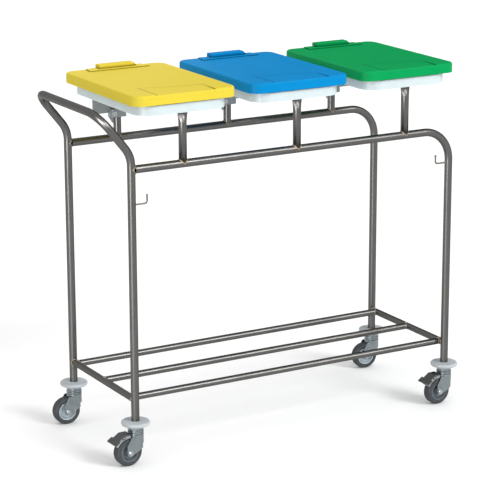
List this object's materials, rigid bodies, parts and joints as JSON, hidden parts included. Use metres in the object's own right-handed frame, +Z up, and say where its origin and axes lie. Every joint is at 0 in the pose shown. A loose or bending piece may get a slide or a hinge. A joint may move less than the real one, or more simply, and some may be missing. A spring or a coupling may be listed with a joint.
{
  "type": "laundry sorter on wheels",
  "caption": "Steel tube laundry sorter on swivel casters, with a push handle, a low tube shelf and lidded bag rings in a row, each lid hinged at the back.",
  "frame": {"origin": "on the floor, midway between the four legs", "axes": "+Z up; +X from the push handle to the far end; +Y from the side with the lids' finger grips to the side with their hinges"},
  "size_m": [1.3037, 0.5246, 1.156],
  "materials": {
    "frame_steel": "satin, drawn along the tube",
    "bracket_grey": "grey powder coat",
    "ring_white": "fine moulded texture",
    "lid_yellow": "satin moulded",
    "lid_blue": "satin moulded",
    "lid_green": "satin moulded",
    "fastener_steel": "zinc plated",
    "buffer_grey": "soft matt",
    "caster_steel": "dull zinc",
    "hub_plastic": "moulded",
    "tyre_rubber": "grey non-marking rubber",
    "brake_black": "black, worn at the edges"
  },
  "bodies": {
    "frame": {"handle_leg_tube": "frame_steel", "front_rail_leg_tube": "frame_steel", "rear_rail_leg_tube": "frame_steel", "left_cross_tube": "frame_steel", "right_cross_tube": "frame_steel", "front_shelf_tube": "frame_steel", "middle_shelf_tube": "frame_steel", "rear_shelf_tube": "frame_steel", "hook_left": "frame_steel", "hook_right": "frame_steel", "front_post_left": "frame_steel", "rear_post_left": "frame_steel", "ring_bracket_left": "bracket_grey", "bag_ring_left": "ring_white", "front_post_middle": "frame_steel", "rear_post_middle": "frame_steel", "ring_bracket_middle": "bracket_grey", "bag_ring_middle": "ring_white", "front_post_right": "frame_steel", "rear_post_right": "frame_steel", "ring_bracket_right": "bracket_grey", "bag_ring_right": "ring_white", "hinge_pins": "fastener_steel", "post_screws": "fastener_steel", "clamp_screws": "fastener_steel", "plate_screws": "fastener_steel", "buffer_front_left": "buffer_grey", "caster_stem_front_left": "caster_steel", "buffer_front_right": "buffer_grey", "caster_stem_front_right": "caster_steel", "buffer_rear_left": "buffer_grey", "caster_stem_rear_left": "caster_steel", "buffer_rear_right": "buffer_grey", "caster_stem_rear_right": "caster_steel"},
    "lid_left": {"lid_left": "lid_yellow"},
    "lid_middle": {"lid_middle": "lid_blue"},
    "lid_right": {"lid_right": "lid_green"},
    "fork_front_left": {"caster_fork_front_left": "caster_steel", "axle_front_left": "fastener_steel", "brake_cover_front_left": "caster_steel", "brake_pin_front_left": "fastener_steel"},
    "wheel_front_left": {"wheel_hub_front_left": "hub_plastic", "tyre_front_left": "tyre_rubber"},
    "brake_front_left": {"brake_pedal_front_left": "brake_black"},
    "fork_front_right": {"caster_fork_front_right": "caster_steel", "axle_front_right": "fastener_steel", "brake_cover_front_right": "caster_steel", "brake_pin_front_right": "fastener_steel"},
    "wheel_front_right": {"wheel_hub_front_right": "hub_plastic", "tyre_front_right": "tyre_rubber"},
    "brake_front_right": {"brake_pedal_front_right": "brake_black"},
    "fork_rear_left": {"caster_fork_rear_left": "caster_steel", "axle_rear_left": "fastener_steel"},
    "wheel_rear_left": {"wheel_hub_rear_left": "hub_plastic", "tyre_rear_left": "tyre_rubber"},
    "fork_rear_right": {"caster_fork_rear_right": "caster_steel", "axle_rear_right": "fastener_steel"},
    "wheel_rear_right": {"wheel_hub_rear_right": "hub_plastic", "tyre_rear_right": "tyre_rubber"}
  },
  "joints": [
    {"name": "lid_left_hinge", "type": "hinge", "parent": "frame", "child": "lid_left", "pos_m": [-0.398, 0.234, 1.143], "axis": [-1, 0, 0], "range_deg": [0, 100]},
    {"name": "lid_middle_hinge", "type": "hinge", "parent": "frame", "child": "lid_middle", "pos_m": [0, 0.234, 1.143], "axis": [-1, 0, 0], "range_deg": [0, 100]},
    {"name": "lid_right_hinge", "type": "hinge", "parent": "frame", "child": "lid_right", "pos_m": [0.398, 0.234, 1.143], "axis": [-1, 0, 0], "range_deg": [0, 100]},
    {"name": "front_left_swivel", "type": "hinge", "parent": "frame", "child": "fork_front_left", "pos_m": [-0.571, -0.218, 0.1], "axis": [0, 0, 1], "continuous": true},
    {"name": "front_left_wheel_spin", "type": "hinge", "parent": "fork_front_left", "child": "wheel_front_left", "pos_m": [-0.59968, -0.219, 0.0437], "axis": [-0.0349, 0.9994, 0], "continuous": true},
    {"name": "front_left_brake_press", "type": "hinge", "parent": "fork_front_left", "child": "brake_front_left", "pos_m": [-0.62097, -0.21974, 0.095], "axis": [0.0349, -0.9994, 0], "range_deg": [0, 8]},
    {"name": "front_right_swivel", "type": "hinge", "parent": "frame", "child": "fork_front_right", "pos_m": [0.571, -0.218, 0.1], "axis": [0, 0, 1], "continuous": true},
    {"name": "front_right_wheel_spin", "type": "hinge", "parent": "fork_front_right", "child": "wheel_front_right", "pos_m": [0.54234, -0.2195, 0.0437], "axis": [-0.0523, 0.9986, 0], "continuous": true},
    {"name": "front_right_brake_press", "type": "hinge", "parent": "fork_front_right", "child": "brake_front_right", "pos_m": [0.52107, -0.22062, 0.095], "axis": [0.0523, -0.9986, 0], "range_deg": [0, 8]},
    {"name": "rear_left_swivel", "type": "hinge", "parent": "frame", "child": "fork_rear_left", "pos_m": [-0.571, 0.218, 0.1], "axis": [0, 0, 1], "continuous": true},
    {"name": "rear_left_wheel_spin", "type": "hinge", "parent": "fork_rear_left", "child": "wheel_rear_left", "pos_m": [-0.59963, 0.22, 0.0437], "axis": [0.0698, 0.9976, 0], "continuous": true},
    {"name": "rear_right_swivel", "type": "hinge", "parent": "frame", "child": "fork_rear_right", "pos_m": [0.571, 0.218, 0.1], "axis": [0, 0, 1], "continuous": true},
    {"name": "rear_right_wheel_spin", "type": "hinge", "parent": "fork_rear_right", "child": "wheel_rear_right", "pos_m": [0.54241, 0.2205, 0.0437], "axis": [0.0872, 0.9962, 0], "continuous": true}
  ]
}
